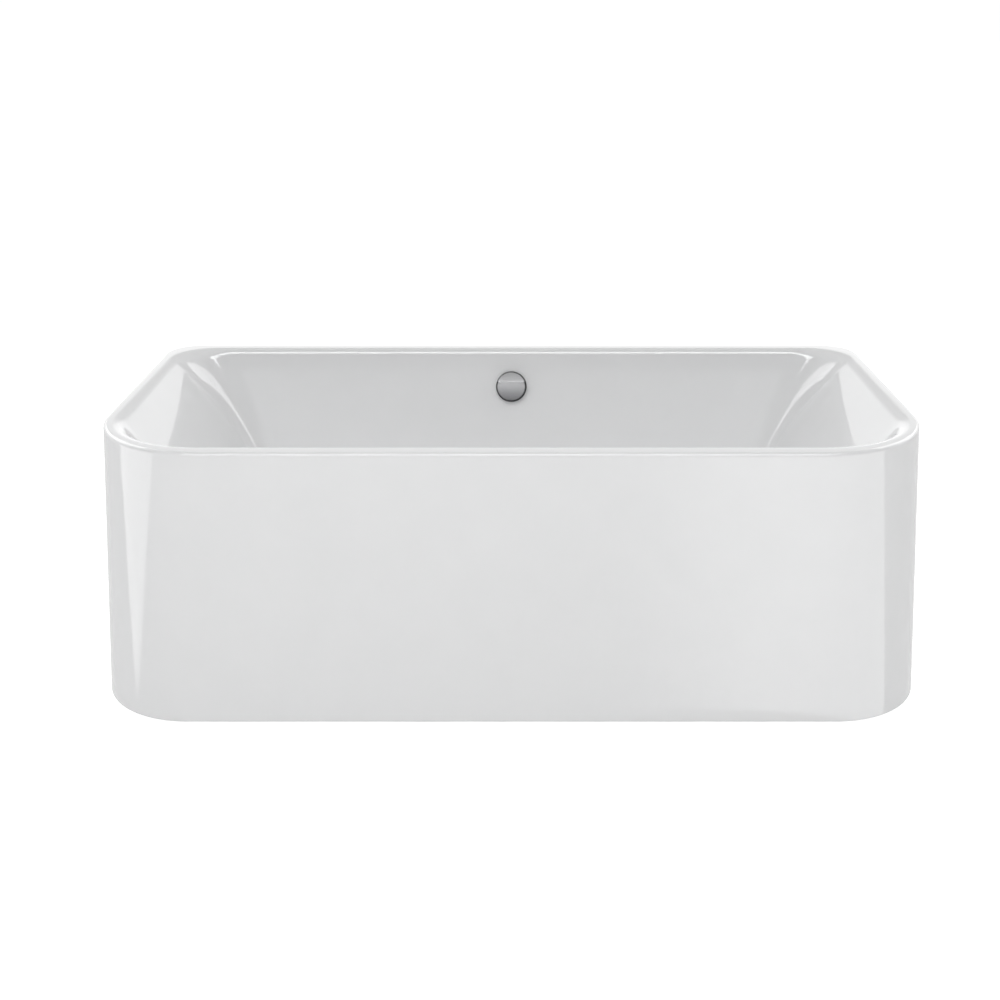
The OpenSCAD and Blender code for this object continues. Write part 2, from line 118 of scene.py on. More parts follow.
def frame_at(origin, out, up=None):
    """Matrix whose Z runs along out and whose Y runs along up."""
    z = Vector(out).normalized()
    y = Vector(up) if up is not None else Vector((0, 1, 0))
    if abs(z.dot(y)) > 0.99:
        y = Vector((1, 0, 0))
    x = y.cross(z).normalized()
    y = z.cross(x)
    return Matrix.Translation(Vector(origin)) @ Matrix((x, y, z)).transposed().to_4x4()


# ---------------------------------------------------------------- mesh helpers


def add_mesh(name, points, faces, material, smooth_angle=35):
    """A new object of these points and faces, smooth where faces meet at less than smooth_angle degrees."""
    mesh = bpy.data.meshes.new(name)
    mesh.from_pydata([tuple(p) for p in points], [], [tuple(f) for f in faces])
    mesh.validate()
    made = bpy.data.objects.new(name, mesh)
    bpy.context.scene.collection.objects.link(made)
    mesh.materials.append(material)
    finish_mesh(made, smooth_angle)
    return made


def finish_mesh(piece, smooth_angle=35):
    """Outward normals and smooth shading up to an angle."""
    bm = bmesh.new()
    bm.from_mesh(piece.data)
    bmesh.ops.remove_doubles(bm, verts=bm.verts, dist=1e-6)
    bmesh.ops.recalc_face_normals(bm, faces=bm.faces)
    bm.to_mesh(piece.data)
    bm.free()
    piece.data.polygons.foreach_set("use_smooth", [True] * len(piece.data.polygons))
    piece.data.set_sharp_from_angle(angle=math.radians(smooth_angle))


def place(piece, body, slot, *nodes):
    """The piece rides on body and stands for these CAD nodes, which it hides. slot is not used."""
    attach(piece, body)
    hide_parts(*nodes)
    return piece


def loft(name, rings, material, closed=False, smooth_angle=35):
    """A skin over rings of the same number of points.
    closed joins the last ring to the first, else both ends are capped."""
    n = len(rings[0])
    points = np.concatenate(rings)
    m = len(rings)
    faces = []
    for k in range(m if closed else m - 1):
        a, b = k * n, ((k + 1) % m) * n
        faces += [(a + i, a + (i + 1) % n, b + (i + 1) % n, b + i) for i in range(n)]
    if not closed:
        faces.append(tuple(range(n - 1, -1, -1)))
        faces.append(tuple(range((m - 1) * n, m * n)))
    return add_mesh(name, points, faces, material, smooth_angle)


def rounded(profile, radius, steps=4):
    """The polyline with each inner point turned into a smooth bend that starts at most radius before it."""
    out = [profile[0]]
    for before, here, after in zip(profile, profile[1:], profile[2:]):
        p, q, r = (np.array(v, float) for v in (before, here, after))
        u, v = p - q, r - q
        lu, lv = np.linalg.norm(u), np.linalg.norm(v)
        reach = min(radius, 0.45 * lu, 0.45 * lv)
        start, end = q + u / lu * reach, q + v / lv * reach
        for t in np.linspace(0, 1, steps + 1):
            out.append(tuple((1 - t) ** 2 * start + 2 * t * (1 - t) * q + t * t * end))
    out.append(profile[-1])
    return out


def section_radius(shape, radius, angle, ribs):
    """Radius at an angle of a turned, hexagonal or ribbed section."""
    if shape == "hex":
        return radius / math.cos((angle + math.pi / 6) % (math.pi / 3) - math.pi / 6)
    if shape == "rib":
        return radius - 0.0012 * (0.5 + 0.5 * math.cos(angle * ribs)) ** 3
    return radius


def turned(name, profile, origin, out, material, segments=72, up=None, ribs=18, smooth_angle=35):
    """A piece turned about an axis. profile is a list of (radius, height) or (radius, height, shape)."""
    place_matrix = frame_at(origin, out, up)
    rings = []
    for station in profile:
        radius, height = station[0], station[1]
        shape = station[2] if len(station) > 2 else "round"
        ring = []
        for i in range(segments):
            a = 2 * math.pi * i / segments
            r = section_radius(shape, radius, a, ribs)
            ring.append(tuple(place_matrix @ Vector((r * math.cos(a), r * math.sin(a), height))))
        rings.append(ring)
    hollow = profile[0][:2] == profile[-1][:2]
    if hollow:
        rings.pop()
    return loft(name, rings, material, closed=hollow, smooth_angle=smooth_angle)


def cut(piece, cutter):
    """Takes cutter's shape out of piece and removes cutter."""
    boolean = piece.modifiers.new("cut", "BOOLEAN")
    boolean.operation = "DIFFERENCE"
    boolean.solver = "EXACT"
    boolean.object = cutter
    bake(piece)
    bpy.data.objects.remove(cutter)


def bake(piece):
    """Applies the piece's modifiers."""
    graph = bpy.context.evaluated_depsgraph_get()
    made = bpy.data.meshes.new_from_object(piece.evaluated_get(graph))
    piece.modifiers.clear()
    piece.data = made


# ---------------------------------------------------------------- materials


def new_material(name):
    material = bpy.data.materials.new(name)
    material.use_nodes = True
    nodes, links = material.node_tree.nodes, material.node_tree.links
    return material, nodes, links, nodes["Principled BSDF"]


def noise(nodes, links, scale, detail=4.0, rough=0.55, stretch=(1, 1, 1)):
    """Noise in the object's own coordinates, in metres; scale is in cycles per metre."""
    coords = nodes.new("ShaderNodeTexCoord")
    mapping = nodes.new("ShaderNodeMapping")
    mapping.inputs["Scale"].default_value = stretch
    texture = nodes.new("ShaderNodeTexNoise")
    texture.inputs["Scale"].default_value = scale
    texture.inputs["Detail"].default_value = detail
    texture.inputs["Roughness"].default_value = rough
    links.new(coords.outputs["Object"], mapping.inputs["Vector"])
    links.new(mapping.outputs["Vector"], texture.inputs["Vector"])
    return texture.outputs["Fac"]


def cells(nodes, links, scale, stretch=(1, 1, 1)):
    """Irregular cells, as (distance, colour)."""
    coords = nodes.new("ShaderNodeTexCoord")
    mapping = nodes.new("ShaderNodeMapping")
    mapping.inputs["Scale"].default_value = stretch
    texture = nodes.new("ShaderNodeTexVoronoi")
    texture.inputs["Scale"].default_value = scale
    links.new(coords.outputs["Object"], mapping.inputs["Vector"])
    links.new(mapping.outputs["Vector"], texture.inputs["Vector"])
    return texture.outputs["Distance"], texture.outputs["Color"]


def ramp(nodes, links, source, stops):
    """Colours or greys along a value."""
    node = nodes.new("ShaderNodeValToRGB")
    while len(node.color_ramp.elements) < len(stops):
        node.color_ramp.elements.new(0.5)
    for element, (position, colour) in zip(node.color_ramp.elements, stops):
        element.position = position
        element.color = (*colour, 1) if len(colour) == 3 else (colour[0],) * 3 + (1,)
    links.new(source, node.inputs["Fac"])
    return node.outputs["Color"]


def span(nodes, links, source, low, high):
    """A value of 0 to 1 spread over low to high."""
    node = nodes.new("ShaderNodeMapRange")
    node.inputs["To Min"].default_value = low
    node.inputs["To Max"].default_value = high
    links.new(source, node.inputs["Value"])
    return node.outputs["Result"]


def bump(nodes, links, bsdf, height, strength, distance):
    node = nodes.new("ShaderNodeBump")
    node.inputs["Strength"].default_value = strength
    node.inputs["Distance"].default_value = distance
    links.new(height, node.inputs["Height"])
    links.new(node.outputs["Normal"], bsdf.inputs["Normal"])
    return node


def shade(name, tints, rough, grain, relief, metallic=0.0, ior=1.5, coat=0.0, stretch=(1, 1, 1)):
    """A material with mottled colour, uneven roughness and a fine surface relief.
    tints are two colours, rough two roughnesses, grain cycles per metre for colour and relief,
    relief the bump's strength and depth in metres."""
    material, nodes, links, bsdf = new_material(name)
    mottle = noise(nodes, links, grain[0], stretch=stretch)
    links.new(ramp(nodes, links, mottle, [(0.3, tints[0]), (0.7, tints[1])]), bsdf.inputs["Base Color"])
    links.new(span(nodes, links, mottle, *rough), bsdf.inputs["Roughness"])
    fine = noise(nodes, links, grain[1], detail=2.0, stretch=stretch)
    bump(nodes, links, bsdf, fine, relief[0], relief[1])
    bsdf.inputs["Metallic"].default_value = metallic
    bsdf.inputs["IOR"].default_value = ior
    bsdf.inputs["Coat Weight"].default_value = coat
    bsdf.inputs["Coat Roughness"].default_value = 0.03
    return material


def acrylic_material():
    """White cast acrylic: deep gloss with a trace of orange peel."""
    tints = ((0.850, 0.854, 0.858), (0.865, 0.868, 0.872))
    return shade("white_acrylic", tints, (0.05, 0.09), (9, 260), (0.02, 0.0001), ior=1.55)


def zinc_material():
    """Zinc plating with its spangle."""
    material, nodes, links, bsdf = new_material("zinc_plated_steel")
    distance, colour = cells(nodes, links, 240)
    grey = nodes.new("ShaderNodeRGBToBW")
    links.new(colour, grey.inputs["Color"])
    tint = ramp(nodes, links, grey.outputs["Val"], [(0.0, (0.50, 0.51, 0.53)), (1.0, (0.66, 0.67, 0.69))])
    links.new(tint, bsdf.inputs["Base Color"])
    links.new(span(nodes, links, grey.outputs["Val"], 0.28, 0.42), bsdf.inputs["Roughness"])
    bump(nodes, links, bsdf, distance, 0.08, 0.0001)
    bsdf.inputs["Metallic"].default_value = 1.0
    return material


def chipboard_material():
    """Pressed wood chips of several tones."""
    material, nodes, links, bsdf = new_material("chipboard")
    distance, colour = cells(nodes, links, 170, stretch=(0.6, 1, 1))
    grey = nodes.new("ShaderNodeRGBToBW")
    links.new(colour, grey.inputs["Color"])
    stops = [(0.0, (0.33, 0.22, 0.12)), (0.35, (0.52, 0.37, 0.21))]
    stops += [(0.7, (0.62, 0.46, 0.28)), (1.0, (0.70, 0.55, 0.36))]
    links.new(ramp(nodes, links, grey.outputs["Val"], stops), bsdf.inputs["Base Color"])
    bsdf.inputs["Roughness"].default_value = 0.75
    bump(nodes, links, bsdf, distance, 0.35, 0.0004)
    return material


def softwood_material(name, stretch):
    """Planed softwood, its grain along the stretched axis."""
    material, nodes, links, bsdf = new_material(name)
    grain = noise(nodes, links, 60, detail=8.0, stretch=stretch)
    stops = [(0.3, (0.42, 0.27, 0.14)), (0.45, (0.60, 0.43, 0.25))]
    stops += [(0.6, (0.68, 0.51, 0.32)), (0.75, (0.55, 0.38, 0.21))]
    links.new(ramp(nodes, links, grain, stops), bsdf.inputs["Base Color"])
    links.new(span(nodes, links, grain, 0.5, 0.7), bsdf.inputs["Roughness"])
    bump(nodes, links, bsdf, grain, 0.25, 0.0003)
    return material


def knob_painted_shade_material():
    """Polished chrome with fine polishing marks; its base colour carries painted reflection and shade, darker
    towards the turned edge and the lower half.
    """
    material, nodes, links, bsdf = new_material("knob_chrome_painted_shade")
    coords = nodes.new("ShaderNodeTexCoord")
    local = nodes.new("ShaderNodeVectorMath")
    local.operation = "SUBTRACT"
    local.inputs[1].default_value = OVERFLOW_AT
    links.new(coords.outputs["Object"], local.inputs[0])
    across = nodes.new("ShaderNodeVectorMath")
    across.operation = "DOT_PRODUCT"
    across.inputs[1].default_value = OVERFLOW_UP
    links.new(local.outputs["Vector"], across.inputs[0])
    height = span(nodes, links, shift(nodes, links, across.outputs["Value"], KNOB_R, 0.5 / KNOB_R), 0, 1)
    # painted shade and reflection: the base colour is dark at the knob's bottom, lightest near the grip
    # step's line and a little darker above it
    stops = [(0.0, (0.22, 0.22, 0.225)), (0.30, (0.42, 0.42, 0.43))]
    stops += [(0.68, (0.78, 0.78, 0.79)), (0.76, (0.66, 0.66, 0.67))]
    down = ramp(nodes, links, height, stops)
    # painted reflection: a near-black band in the base colour round the knob's turned edge, wider at the
    # right and bottom
    offset = nodes.new("ShaderNodeVectorMath")
    offset.operation = "SUBTRACT"
    offset.inputs[1].default_value = KNOB_PAINTED_DARK_AT
    links.new(local.outputs["Vector"], offset.inputs[0])
    length = nodes.new("ShaderNodeVectorMath")
    length.operation = "LENGTH"
    links.new(offset.outputs["Vector"], length.inputs[0])
    edge = nodes.new("ShaderNodeMapRange")
    edge.interpolation_type = "SMOOTHSTEP"
    edge.inputs["From Min"].default_value = KNOB_PAINTED_DARK_FROM
    edge.inputs["From Max"].default_value = KNOB_PAINTED_DARK_TO
    links.new(length.outputs["Value"], edge.inputs["Value"])
    mix = nodes.new("ShaderNodeMix")
    mix.data_type = "RGBA"
    mix.inputs["B"].default_value = (0.05, 0.05, 0.052, 1)
    links.new(edge.outputs["Result"], mix.inputs["Factor"])
    links.new(down, mix.inputs["A"])
    links.new(mix.outputs["Result"], bsdf.inputs["Base Color"])
    marks = noise(nodes, links, 500, detail=2.0)
    links.new(span(nodes, links, marks, 0.10, 0.18), bsdf.inputs["Roughness"])
    bump(nodes, links, bsdf, marks, 0.03, 0.0001)
    bsdf.inputs["Metallic"].default_value = 1.0
    return material


def shift(nodes, links, source, add, scale):
    """(source + add) * scale."""
    node = nodes.new("ShaderNodeMath")
    node.operation = "ADD"
    node.inputs[1].default_value = add
    links.new(source, node.inputs[0])
    times = nodes.new("ShaderNodeMath")
    times.operation = "MULTIPLY"
    times.inputs[1].default_value = scale
    links.new(node.outputs["Value"], times.inputs[0])
    return times.outputs["Value"]


ACRYLIC = acrylic_material()
KNOB_CHROME_PAINTED_SHADE = knob_painted_shade_material()
CHROME = shade(
    "polished_chrome", ((0.70, 0.71, 0.73), (0.76, 0.77, 0.79)),
    (0.05, 0.12), (30, 700), (0.03, 0.0001), 1.0,
)
STEEL = shade(
    "turned_steel", ((0.52, 0.53, 0.55), (0.64, 0.65, 0.67)),
    (0.22, 0.38), (60, 900), (0.1, 0.0001), 1.0,
)
ZINC = zinc_material()
POWDER = shade(
    "powder_coat", ((0.14, 0.15, 0.16), (0.18, 0.19, 0.20)),
    (0.45, 0.6), (25, 1600), (0.3, 0.0003),
)
RUBBER = shade(
    "black_rubber", ((0.025, 0.025, 0.028), (0.05, 0.05, 0.055)),
    (0.7, 0.9), (40, 1200), (0.35, 0.0003),
)
PLASTIC = shade(
    "moulded_pipe", ((0.74, 0.74, 0.72), (0.80, 0.80, 0.78)),
    (0.32, 0.45), (20, 900), (0.15, 0.0002),
)
NYLON = shade(
    "black_nylon", ((0.035, 0.035, 0.04), (0.06, 0.06, 0.065)),
    (0.45, 0.6), (40, 1000), (0.2, 0.0002),
)
CHIPBOARD = chipboard_material()
WOOD_X = softwood_material("softwood_long", (0.04, 1, 1))
WOOD_Y = softwood_material("softwood_cross", (1, 0.04, 1))

# ---------------------------------------------------------------- basin and skirt


def outline(inset_end, inset_side, front_r, back_r, z):
    """The bath's plan at height z, drawn in from the outer face, as an array of points."""
    hx, hy = HALF_L - inset_end, HALF_W - inset_side
    corners = [(1, 1, back_r, 0), (-1, 1, back_r, 90), (-1, -1, front_r, 180), (1, -1, front_r, 270)]
    arcs = []
    for sx, sy, r, start in corners:
        a = np.radians(start + np.linspace(0, 90, CORNER_STEPS + 1))
        arcs.append(np.stack([sx * (hx - r) + r * np.cos(a), sy * (hy - r) + r * np.sin(a)], axis=1))
    points = []
    for k, arc in enumerate(arcs):
        steps = LONG_STEPS if k % 2 == 0 else SHORT_STEPS
        following = arcs[(k + 1) % 4][0]
        t = np.linspace(0, 1, steps + 2)[1:-1, None]
        points += [arc, arc[-1] + (following - arc[-1]) * t]
    flat = np.concatenate(points)
    return np.column_stack([flat, np.full(len(flat), z)])


def end_run(depth):
    return END_SLOPE * depth + END_CURVE * depth * depth


def end_rate(depth):
    return END_SLOPE + 2 * END_CURVE * depth


END_LEAN = math.pi / 2 - math.atan(END_SLOPE)  # how far the roll turns before it meets the end wall


def end_inset(drop):
    """Inset of the end wall at this drop below the rim: a roll from the flat, then the slope."""
    if drop > END_FILLET * (1 - math.cos(END_LEAN)):
        return BASIN_INSET + end_run(drop - INNER_FILLET)
    start = BASIN_INSET - END_SLOPE * INNER_FILLET - END_FILLET * math.tan(END_LEAN / 2)
    return start + END_FILLET * math.sin(math.acos(1 - drop / END_FILLET))


def end_lean(drop):
    return min(END_LEAN, math.acos(max(0, 1 - drop / END_FILLET)))


def rim_stations():
    """From the lip's foot over the rim to the end of the inner fillet and roll.
    Each station is end inset, side inset, height, front and back radius, and the normal's three parts."""
    made = [(0, 0, LIP_Z, FRONT_R, BACK_R, -1, -1, 0)]
    for a in np.radians(np.linspace(0, 90, 9)):
        inset = OUTER_FILLET * (1 - math.cos(a))
        z = RIM_Z - OUTER_FILLET * (1 - math.sin(a))
        normal = (-math.cos(a), -math.cos(a), math.sin(a))
        made.append((inset, inset, z, FRONT_R - inset, BACK_R - inset, *normal))
    flat = RIM_FLAT - OUTER_FILLET
    end_flat = end_inset(0) - OUTER_FILLET
    for t in (0.1, 0.5, 0.9):
        inset = OUTER_FILLET + flat * t
        made.append((OUTER_FILLET + end_flat * t, inset, RIM_Z, *rim_radii(inset), 0, 0, 1))
    steepest = 90 - math.degrees(math.atan(SIDE_SLOPE))
    for a in np.radians(np.linspace(0, steepest, 12)):
        inset = RIM_FLAT + INNER_FILLET * math.sin(a)
        drop = INNER_FILLET * (1 - math.cos(a))
        lean = end_lean(drop)
        normal = (math.sin(lean), math.sin(a), math.cos((a + lean) / 2))
        made.append((end_inset(drop), inset, RIM_Z - drop, *rim_radii(inset), *normal))
    return made


def rim_radii(inset):
    """Corner radii across the rim, blended from the outer face to the basin's edge."""
    blend = inset / BASIN_INSET
    return FRONT_R + (BASIN_FRONT_R - FRONT_R) * blend, BACK_R + (BASIN_BACK_R - BACK_R) * blend


def wall_station(z):
    depth = FILLET_END_Z - z
    high = (1 - depth / (FILLET_END_Z - TURN_Z)) ** 2
    ae, side = math.atan(end_rate(depth)), math.atan(SIDE_SLOPE)
    return (
        BASIN_INSET + end_run(depth),
        BASIN_INSET + SIDE_SLOPE * depth,
        z,
        BASIN_LOW_R + (BASIN_FRONT_R - BASIN_LOW_R) * high,
        BASIN_LOW_R + (BASIN_BACK_R - BASIN_LOW_R) * high,
        math.cos(ae),
        math.cos(side),
        math.sin((ae + side) / 2),
    )


def turn_station(t):
    """Along the sweep from the walls into the floor, t from 0 to 1."""
    top = wall_station(TURN_Z)
    low_z = FLOOR_Z + FLOOR_FALL
    drop = TURN_Z - low_z
    me = end_rate(FILLET_END_Z - TURN_Z) * drop
    ms = SIDE_SLOPE * drop
    a = math.pi / 2 * t
    return (
        top[0] + 2 * t * (1 - t) * me + t * t * (me + END_TURN),
        top[1] + 2 * t * (1 - t) * ms + t * t * (ms + SIDE_TURN),
        low_z + (1 - t) ** 2 * drop,
        top[3] + TURN_R_GAIN * t,
        top[4] + TURN_R_GAIN * t,
        top[5] * math.cos(a),
        top[6] * math.cos(a),
        max(top[7], math.sin(a)),
    )


def waste_ring(floor_outline, radius, z):
    """A level ring round the waste, on the same bearings as the floor's outline."""
    flat = floor_outline[:, :2]
    ring = radius * flat / np.linalg.norm(flat, axis=1)[:, None]
    return np.column_stack([ring, np.full(len(ring), z)])


def make_basin():
    """The acrylic basin: rim, walls and floor as one skin of even thickness, open at the waste."""
    walls = [wall_station(z) for z in np.linspace(FILLET_END_Z - 0.004, TURN_Z, 26)[:-1]]
    turns = [turn_station(t) for t in np.linspace(0, 1, 15)]
    stations = rim_stations() + walls + turns
    top = [outline(s[0], s[1], s[3], s[4], s[2]) for s in stations]
    under = []
    for s in stations:
        end, side, down = (SHELL_T * part for part in s[5:])
        grow = SHELL_T * (s[5] + s[6]) / 2
        under.append(outline(s[0] - end, s[1] - side, s[3] + grow, s[4] + grow, s[2] - down))
    floor_top = top[-1]
    waste_top = waste_ring(floor_top, WASTE_FLAT_R, FLOOR_Z)
    for t in (0.25, 0.5, 0.75, 0.93):
        top.append(floor_top + (waste_top - floor_top) * t)
    top += [waste_top, waste_ring(floor_top, WASTE_HOLE_R + 0.001, FLOOR_Z)]
    top += [waste_ring(floor_top, WASTE_HOLE_R, FLOOR_Z - 0.001)]
    low = [waste_ring(floor_top, WASTE_HOLE_R, FLOOR_Z - SHELL_T)]
    low += [waste_ring(floor_top, WASTE_FLAT_R, FLOOR_Z - SHELL_T)]
    basin = loft("acrylic_basin", top + low + under[::-1], ACRYLIC, closed=True, smooth_angle=40)
    at = OVERFLOW_AT - OVERFLOW_OUT * 0.02
    hole = turned("hole", [(OVERFLOW_HOLE_R, 0), (OVERFLOW_HOLE_R, 0.04)], at, OVERFLOW_OUT, ACRYLIC, 64)
    cut(basin, hole)
    finish_mesh(basin, 40)
    return place(basin, "tub", "acrylic", "tub_shell")


def make_skirt():
    """The one-piece skirt; its front corners tighten towards the floor and its foot has a small round."""
    top_z = LIP_Z - 0.00002
    foot_round = 0.002

    def ring(inset, z):
        front = FRONT_LOW_R + (FRONT_R - FRONT_LOW_R) * z / LIP_Z
        return outline(inset, inset, front - inset, BACK_R - inset, z)

    outer = [ring(0, z) for z in np.linspace(top_z, SKIRT_FOOT_Z + foot_round, 14)]
    foot = []
    for a in np.radians(np.linspace(15, 90, 6)):
        foot.append(ring(foot_round * (1 - math.cos(a)), SKIRT_FOOT_Z + foot_round * (1 - math.sin(a))))
    inner = [ring(SKIRT_T, z) for z in np.linspace(SKIRT_FOOT_Z, top_z, 8)]
    skirt = loft("skirt", outer + foot + inner, ACRYLIC, closed=True, smooth_angle=40)
    return place(skirt, "tub", "acrylic", "skirt_panel")


make_basin()
make_skirt()

# ---------------------------------------------------------------- overflow and plug


def make_knob():
    """The rotary cover: a thin-walled cap with a low step across its upper third to grip it by."""
    back, face = 0.008, 0.0245
    wall = 0.003
    profile = [(0.0002, face + 0.0006), (0.020, face + 0.0003), (KNOB_R, face - 0.0004), (KNOB_R, back)]
    profile = rounded(profile, 0.0022, 6)
    profile += [(KNOB_R - wall, back), (KNOB_R - wall, face - 0.005), (0.009, face - 0.005), (0.009, back)]
    profile += [(0.0002, back)]
    knob = turned("knob_cover", profile, OVERFLOW_AT, OVERFLOW_OUT, KNOB_CHROME_PAINTED_SHADE, 120, OVERFLOW_UP)
    step_from, clear, step_depth = 0.013, 0.05, 0.0025
    block = frame_at(OVERFLOW_AT, OVERFLOW_OUT, OVERFLOW_UP)
    sides = ((-clear, step_from), (clear, step_from), (clear, clear), (-clear, clear))
    points = [block @ Vector((x, y, z)) for z in (face - step_depth, face + 0.01) for x, y in sides]
    faces = [(0, 1, 2, 3), (7, 6, 5, 4), (0, 4, 5, 1), (1, 5, 6, 2), (2, 6, 7, 3), (3, 7, 4, 0)]
    cut(knob, add_mesh("step", points, faces, KNOB_CHROME_PAINTED_SHADE))
    finish_mesh(knob, 35)
    soften = knob.modifiers.new("soft_step", "BEVEL")
    soften.width = 0.0005
    soften.segments = 3
    soften.angle_limit = math.radians(50)
    return place(knob, "control", "chrome", "knob")


def make_plug():
    """The domed plug cap over its rubber seal, with a fine shadow groove round its edge."""
    origin = (0, 0, FLOOR_Z)
    dome = [(0.0002, 0.0084), (0.012, 0.0081), (0.022, 0.0071), (0.0285, 0.0058), (0.031, 0.0046)]
    underside = [(0.031, 0.0034), (0.024, 0.0034), (0.016, 0.0034), (0.016, 0.0011), (0.014, 0.0011)]
    tail = [(0.014, -0.003), (0.016, -0.003), (0.016, -0.006), (0.0002, -0.006)]
    profile = rounded(dome + underside + tail, 0.0006, 3)
    cap = turned("plug_dome", profile, origin, (0, 0, 1), CHROME, 96)
    place(cap, "plug", "chrome", "plug_cap")
    lips = [(0.0140, -0.001), (0.0140, 0.001), (0.0195, 0.001), (0.0216, -0.0003), (0.0195, -0.001)]
    lips += [(0.0216, -0.0023), (0.0195, -0.003), (0.0140, -0.003), (0.0140, -0.001)]
    seal = turned("plug_lip_seal", rounded(lips, 0.0004, 3), origin, (0, 0, 1), RUBBER, 72)
    place(seal, "plug", "rubber", "plug_seal")


make_knob()
make_plug()

# ---------------------------------------------------------------- screws, nuts and feet


def make_stud(index):
    """A threaded rod with chamfered ends."""
    low, high = (Vector(corner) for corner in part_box(f"foot_stud_{index}"))
    radius, pitch, depth = (high.x - low.x) / 2, 0.00175, 0.0009
    centre = (low + high) / 2
    segments, rows = 18, 3
    count = int((high.z - low.z) / pitch * rows)
    rings = []
    for k in range(count + 1):
        z = low.z + (high.z - low.z) * k / count
        ends = min(1.0, (z - low.z) / 0.0015 + 0.55, (high.z - z) / 0.0015 + 0.55)
        ring = []
        for i in range(segments):
            phase = (z / pitch - i / segments) % 1.0
            r = (radius - depth * abs(2 * phase - 1)) * (0.88 + 0.12 * ends)
            a = 2 * math.pi * i / segments
            ring.append((centre.x + r * math.cos(a), centre.y + r * math.sin(a), z))
        rings.append(ring)
    stud = loft(f"threaded_stud_{index}", rings, ZINC, smooth_angle=60)
    place(stud, f"foot_{index}", "zinc_steel", f"foot_stud_{index}")


def make_hex_nut(name, node, body, hole_r):
    """A hexagon nut with chamfered corners and a countersunk bore."""
    low, high = (Vector(corner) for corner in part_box(node))
    centre = (low + high) / 2
    flat, h = (high.y - low.y) / 2, high.z - low.z
    chamfer = 0.0011
    section = [(hole_r, chamfer), (hole_r + chamfer, 0), (flat * 0.96, 0), (flat, chamfer, "hex")]
    section += [(flat, h - chamfer, "hex"), (flat * 0.96, h), (hole_r + chamfer, h), (hole_r, h - chamfer)]
    section += [(hole_r, chamfer)]
    foot = (centre.x, centre.y, low.z)
    nut = turned(name, section, foot, (0, 0, 1), ZINC, 72, up=(1, 0, 0), smooth_angle=25)
    place(nut, body, "zinc_steel", node)


def make_foot_pad(index):
    """A rubber foot with a raised collar and a grooved edge."""
    low, high = (Vector(corner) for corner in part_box(f"foot_pad_{index}"))
    centre = (low + high) / 2
    r = (high.x - low.x) / 2
    profile = [(0.0002, 0), (r - 0.001, 0), (r, 0.001), (r, 0.0022), (r - 0.0008, 0.0027), (r, 0.0032)]
    profile += [(r - 0.0005, 0.0055), (0.0165, 0.0062), (0.014, 0.0075), (0.0135, 0.010), (0.0002, 0.010)]
    profile = rounded(profile, 0.0005, 2)
    pad = turned(f"rubber_foot_{index}", profile, (centre.x, centre.y, 0), (0, 0, 1), RUBBER, 60)
    place(pad, f"foot_{index}", "rubber", f"foot_pad_{index}")


def make_screw(index):
    """A pan-head screw with a hexagon socket."""
    low, high = (Vector(corner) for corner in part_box(f"bracket_screw_{index}"))
    centre = (low + high) / 2
    head_z = high.z - low.z - 0.0035
    profile = [(0.0002, 0), (0.0022, 0), (0.0029, 0.0008), (0.0029, head_z), (0.006, head_z)]
    profile += [(0.006, head_z + 0.0012), (0.0052, head_z + 0.0026), (0.0040, head_z + 0.0035)]
    profile += [(0.0024, head_z + 0.0035), (0.0019, head_z + 0.0034, "hex")]
    profile += [(0.0019, head_z + 0.0012, "hex"), (0.0002, head_z + 0.0009)]
    tip = (centre.x, centre.y, low.z)
    screw = turned(f"pan_screw_{index}", profile, tip, (0, 0, 1), ZINC, 48, smooth_angle=30)
    place(screw, "tub", "zinc_steel", f"bracket_screw_{index}")


NUT_BORE_R = 0.00605

for index in range(1, 5):
    make_stud(index)
    make_foot_pad(index)
    make_screw(index)
    make_hex_nut(f"hex_lock_nut_{index}", f"lock_nut_{index}", f"foot_{index}", NUT_BORE_R)
    make_hex_nut(f"hex_rail_nut_{index}", f"rail_nut_{index}", "tub", NUT_BORE_R)


def make_union_nut(name, node, out, bore):
    """A hand-tightened union nut with grip ribs between two plain bands."""
    low, high = (Vector(corner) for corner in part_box(node))
    centre = (low + high) / 2
    axis = Vector(out)
    length = abs((high - low).dot(axis))
    r = max(high.z - low.z, 0.001) / 2
    start = centre - axis * length / 2
    profile = [(bore, 0.001), (bore + 0.001, 0), (r - 0.002, 0), (r - 0.0008, 0.0015), (r - 0.0008, 0.003)]
    profile += [(r, 0.0038, "rib"), (r, length - 0.0038, "rib"), (r - 0.0008, length - 0.003)]
    profile += [(r - 0.0008, length - 0.0015), (r - 0.002, length), (bore + 0.001, length)]
    profile += [(bore, length - 0.001), (bore, 0.001)]
    nut = turned(name, profile, start, axis, PLASTIC, 144, ribs=24, smooth_angle=50)
    place(nut, "tub", "pipe_plastic", node)


WASTE_BORE_R = 0.0201
OVERFLOW_BORE_R = 0.0161

make_union_nut("ribbed_trap_nut", "trap_nut", (1, 0, 0), WASTE_BORE_R)
make_union_nut("ribbed_outlet_nut", "outlet_nut", (1, 0, 0), WASTE_BORE_R)
make_union_nut("ribbed_overflow_nut", "overflow_pipe_nut", (0, 1, 0), OVERFLOW_BORE_R)

# ---------------------------------------------------------------- CAD nodes that stay

